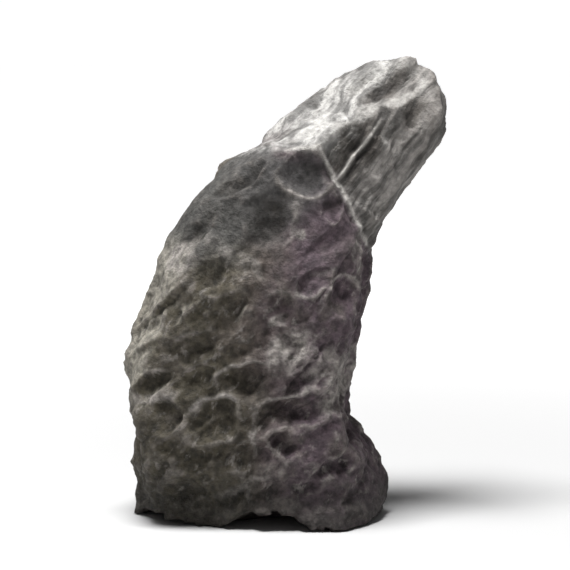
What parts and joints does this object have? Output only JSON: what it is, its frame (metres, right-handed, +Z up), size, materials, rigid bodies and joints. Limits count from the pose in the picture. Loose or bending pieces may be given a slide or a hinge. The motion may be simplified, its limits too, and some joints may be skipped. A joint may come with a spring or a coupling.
{
  "type": "seiryu stone",
  "caption": "Dark scalloped limestone peak that leans to one side, with a banded pale finger at its top and a worn underside to rest on.",
  "frame": {"origin": "on the resting plane, in the flat part of the underside below the stone's body", "axes": "+Z up from the resting plane, -Y towards the viewer of the picture, +X to the viewer's right, the way the finger leans"},
  "size_m": [0.1252, 0.0849, 0.1776],
  "materials": {
    "limestone": "dull, dark blue-grey with a purple and an olive tint, paler on its crests and on the banded finger"
  },
  "bodies": {
    "root": {"stone": "limestone"}
  },
  "joints": []
}
